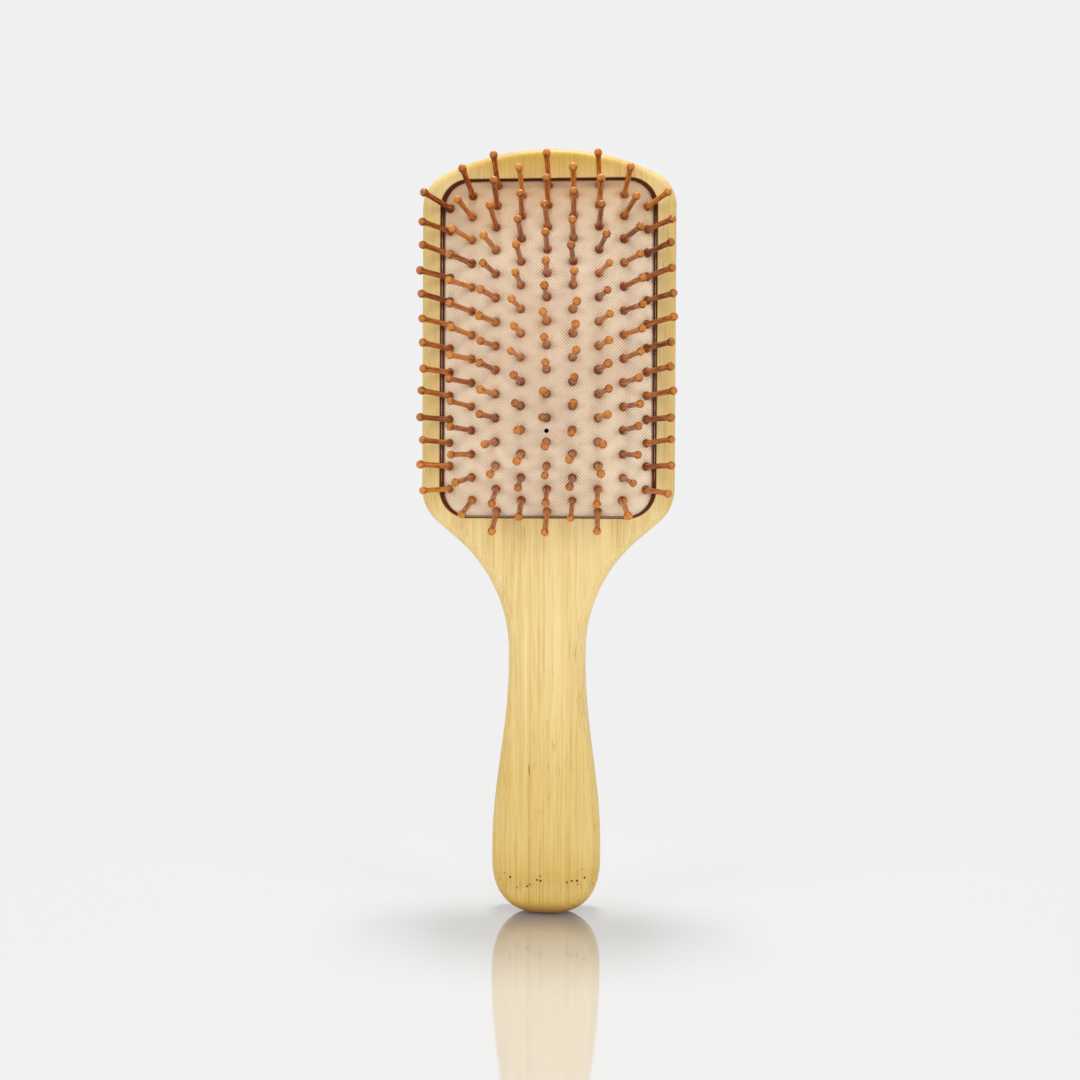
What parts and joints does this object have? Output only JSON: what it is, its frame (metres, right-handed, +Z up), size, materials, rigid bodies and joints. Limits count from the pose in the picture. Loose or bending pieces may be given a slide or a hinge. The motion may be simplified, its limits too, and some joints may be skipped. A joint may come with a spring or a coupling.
{
  "type": "paddle hair brush",
  "caption": "Flat bamboo paddle hairbrush with a domed rubber cushion in a routed pocket and rows of ball-tipped wooden pins.",
  "frame": {"origin": "middle of the hand's grip, 52 mm above the handle's end, half way through the handle's thickness", "axes": "+Z runs up the brush from the handle to the head, the pins point to -Y, and the flat back faces +Y"},
  "size_m": [0.0826, 0.0377, 0.25],
  "materials": {
    "bamboo": "oiled laminated bamboo",
    "cushion_rubber": "matt, finely ribbed",
    "pin_wood": "turned and lacquered"
  },
  "bodies": {
    "paddle": {"paddle_body": "bamboo"},
    "cushion": {"cushion": "cushion_rubber"},
    "pins_column1_top": {"pins_column1_top": "pin_wood"},
    "pins_column1_middle": {"pins_column1_middle": "pin_wood"},
    "pins_column1_lower": {"pins_column1_lower": "pin_wood"},
    "pins_column2_top": {"pins_column2_top": "pin_wood"},
    "pins_column2_middle": {"pins_column2_middle": "pin_wood"},
    "pins_column2_lower": {"pins_column2_lower": "pin_wood"},
    "pins_column3_top": {"pins_column3_top": "pin_wood"},
    "pins_column3_middle": {"pins_column3_middle": "pin_wood"},
    "pins_column3_lower": {"pins_column3_lower": "pin_wood"},
    "pins_column4_top": {"pins_column4_top": "pin_wood"},
    "pins_column4_middle": {"pins_column4_middle": "pin_wood"},
    "pins_column4_lower": {"pins_column4_lower": "pin_wood"},
    "pins_column5_top": {"pins_column5_top": "pin_wood"},
    "pins_column5_middle": {"pins_column5_middle": "pin_wood"},
    "pins_column5_lower": {"pins_column5_lower": "pin_wood"},
    "pins_column6_top": {"pins_column6_top": "pin_wood"},
    "pins_column6_middle": {"pins_column6_middle": "pin_wood"},
    "pins_column6_lower": {"pins_column6_lower": "pin_wood"},
    "pins_column7_top": {"pins_column7_top": "pin_wood"},
    "pins_column7_middle": {"pins_column7_middle": "pin_wood"},
    "pins_column7_lower": {"pins_column7_lower": "pin_wood"},
    "pins_column8_top": {"pins_column8_top": "pin_wood"},
    "pins_column8_middle": {"pins_column8_middle": "pin_wood"},
    "pins_column8_lower": {"pins_column8_lower": "pin_wood"},
    "pins_column9_top": {"pins_column9_top": "pin_wood"},
    "pins_column9_middle": {"pins_column9_middle": "pin_wood"},
    "pins_column9_lower": {"pins_column9_lower": "pin_wood"}
  },
  "joints": [
    {"name": "cushion_press", "type": "slide", "parent": "paddle", "child": "cushion", "axis": [0, 1, 0], "range_m": [0, 0.002], "stiffness_N_per_m": 4500, "deforming": ["cushion"]},
    {"name": "column1_top_tilt", "type": "hinge", "parent": "cushion", "child": "pins_column1_top", "pos_m": [-0.03187, -0.00677, 0.16717], "axis": [0, 0.0213, 0.9998], "range_deg": [-10, 10], "stiffness_Nm_per_rad": 0.12},
    {"name": "column1_middle_tilt", "type": "hinge", "parent": "cushion", "child": "pins_column1_middle", "pos_m": [-0.03187, -0.00701, 0.1329], "axis": [0, 0, 1], "range_deg": [-10, 10], "stiffness_Nm_per_rad": 0.15},
    {"name": "column1_lower_tilt", "type": "hinge", "parent": "cushion", "child": "pins_column1_lower", "pos_m": [-0.03187, -0.00677, 0.09863], "axis": [0, -0.0213, 0.9998], "range_deg": [-10, 10], "stiffness_Nm_per_rad": 0.12},
    {"name": "column2_top_tilt", "type": "hinge", "parent": "cushion", "child": "pins_column2_top", "pos_m": [-0.02439, -0.00922, 0.17087], "axis": [0, 0.1181, 0.993], "range_deg": [-10, 10], "stiffness_Nm_per_rad": 0.12},
    {"name": "column2_middle_tilt", "type": "hinge", "parent": "cushion", "child": "pins_column2_middle", "pos_m": [-0.02439, -0.01056, 0.1329], "axis": [0, 0, 1], "range_deg": [-10, 10], "stiffness_Nm_per_rad": 0.18},
    {"name": "column2_lower_tilt", "type": "hinge", "parent": "cushion", "child": "pins_column2_lower", "pos_m": [-0.02439, -0.00922, 0.09493], "axis": [0, -0.1181, 0.993], "range_deg": [-10, 10], "stiffness_Nm_per_rad": 0.12},
    {"name": "column3_top_tilt", "type": "hinge", "parent": "cushion", "child": "pins_column3_top", "pos_m": [-0.01645, -0.00961, 0.17452], "axis": [0, 0.2603, 0.9655], "range_deg": [-10, 10], "stiffness_Nm_per_rad": 0.12},
    {"name": "column3_middle_tilt", "type": "hinge", "parent": "cushion", "child": "pins_column3_middle", "pos_m": [-0.01645, -0.0129, 0.1329], "axis": [0, 0, 1], "range_deg": [-10, 10], "stiffness_Nm_per_rad": 0.21},
    {"name": "column3_lower_tilt", "type": "hinge", "parent": "cushion", "child": "pins_column3_lower", "pos_m": [-0.01645, -0.00961, 0.09129], "axis": [0, -0.2603, 0.9655], "range_deg": [-10, 10], "stiffness_Nm_per_rad": 0.12},
    {"name": "column4_top_tilt", "type": "hinge", "parent": "cushion", "child": "pins_column4_top", "pos_m": [-0.00827, -0.01085, 0.17087], "axis": [0, 0.2262, 0.9741], "range_deg": [-10, 10], "stiffness_Nm_per_rad": 0.12},
    {"name": "column4_middle_tilt", "type": "hinge", "parent": "cushion", "child": "pins_column4_middle", "pos_m": [-0.00827, -0.01407, 0.1329], "axis": [0, 0, 1], "range_deg": [-10, 10], "stiffness_Nm_per_rad": 0.18},
    {"name": "column4_lower_tilt", "type": "hinge", "parent": "cushion", "child": "pins_column4_lower", "pos_m": [-0.00827, -0.01085, 0.09493], "axis": [0, -0.2262, 0.9741], "range_deg": [-10, 10], "stiffness_Nm_per_rad": 0.12},
    {"name": "column5_top_tilt", "type": "hinge", "parent": "cushion", "child": "pins_column5_top", "pos_m": [0, -0.00981, 0.17452], "axis": [0, 0.276, 0.9612], "range_deg": [-10, 10], "stiffness_Nm_per_rad": 0.12},
    {"name": "column5_middle_tilt", "type": "hinge", "parent": "cushion", "child": "pins_column5_middle", "pos_m": [0, -0.01382, 0.1329], "axis": [0, 0, 1], "range_deg": [-10, 10], "stiffness_Nm_per_rad": 0.21},
    {"name": "column5_lower_tilt", "type": "hinge", "parent": "cushion", "child": "pins_column5_lower", "pos_m": [0, -0.00981, 0.09129], "axis": [0, -0.276, 0.9612], "range_deg": [-10, 10], "stiffness_Nm_per_rad": 0.12},
    {"name": "column6_top_tilt", "type": "hinge", "parent": "cushion", "child": "pins_column6_top", "pos_m": [0.00827, -0.01085, 0.17087], "axis": [0, 0.2262, 0.9741], "range_deg": [-10, 10], "stiffness_Nm_per_rad": 0.12},
    {"name": "column6_middle_tilt", "type": "hinge", "parent": "cushion", "child": "pins_column6_middle", "pos_m": [0.00827, -0.01407, 0.1329], "axis": [0, 0, 1], "range_deg": [-10, 10], "stiffness_Nm_per_rad": 0.18},
    {"name": "column6_lower_tilt", "type": "hinge", "parent": "cushion", "child": "pins_column6_lower", "pos_m": [0.00827, -0.01085, 0.09493], "axis": [0, -0.2262, 0.9741], "range_deg": [-10, 10], "stiffness_Nm_per_rad": 0.12},
    {"name": "column7_top_tilt", "type": "hinge", "parent": "cushion", "child": "pins_column7_top", "pos_m": [0.01645, -0.00961, 0.17452], "axis": [0, 0.2603, 0.9655], "range_deg": [-10, 10], "stiffness_Nm_per_rad": 0.12},
    {"name": "column7_middle_tilt", "type": "hinge", "parent": "cushion", "child": "pins_column7_middle", "pos_m": [0.01645, -0.0129, 0.1329], "axis": [0, 0, 1], "range_deg": [-10, 10], "stiffness_Nm_per_rad": 0.21},
    {"name": "column7_lower_tilt", "type": "hinge", "parent": "cushion", "child": "pins_column7_lower", "pos_m": [0.01645, -0.00961, 0.09129], "axis": [0, -0.2603, 0.9655], "range_deg": [-10, 10], "stiffness_Nm_per_rad": 0.12},
    {"name": "column8_top_tilt", "type": "hinge", "parent": "cushion", "child": "pins_column8_top", "pos_m": [0.02439, -0.00922, 0.17087], "axis": [0, 0.1181, 0.993], "range_deg": [-10, 10], "stiffness_Nm_per_rad": 0.12},
    {"name": "column8_middle_tilt", "type": "hinge", "parent": "cushion", "child": "pins_column8_middle", "pos_m": [0.02439, -0.01056, 0.1329], "axis": [0, 0, 1], "range_deg": [-10, 10], "stiffness_Nm_per_rad": 0.18},
    {"name": "column8_lower_tilt", "type": "hinge", "parent": "cushion", "child": "pins_column8_lower", "pos_m": [0.02439, -0.00922, 0.09493], "axis": [0, -0.1181, 0.993], "range_deg": [-10, 10], "stiffness_Nm_per_rad": 0.12},
    {"name": "column9_top_tilt", "type": "hinge", "parent": "cushion", "child": "pins_column9_top", "pos_m": [0.03187, -0.00677, 0.16717], "axis": [0, 0.0213, 0.9998], "range_deg": [-10, 10], "stiffness_Nm_per_rad": 0.12},
    {"name": "column9_middle_tilt", "type": "hinge", "parent": "cushion", "child": "pins_column9_middle", "pos_m": [0.03187, -0.00701, 0.1329], "axis": [0, 0, 1], "range_deg": [-10, 10], "stiffness_Nm_per_rad": 0.15},
    {"name": "column9_lower_tilt", "type": "hinge", "parent": "cushion", "child": "pins_column9_lower", "pos_m": [0.03187, -0.00677, 0.09863], "axis": [0, -0.0213, 0.9998], "range_deg": [-10, 10], "stiffness_Nm_per_rad": 0.12}
  ]
}
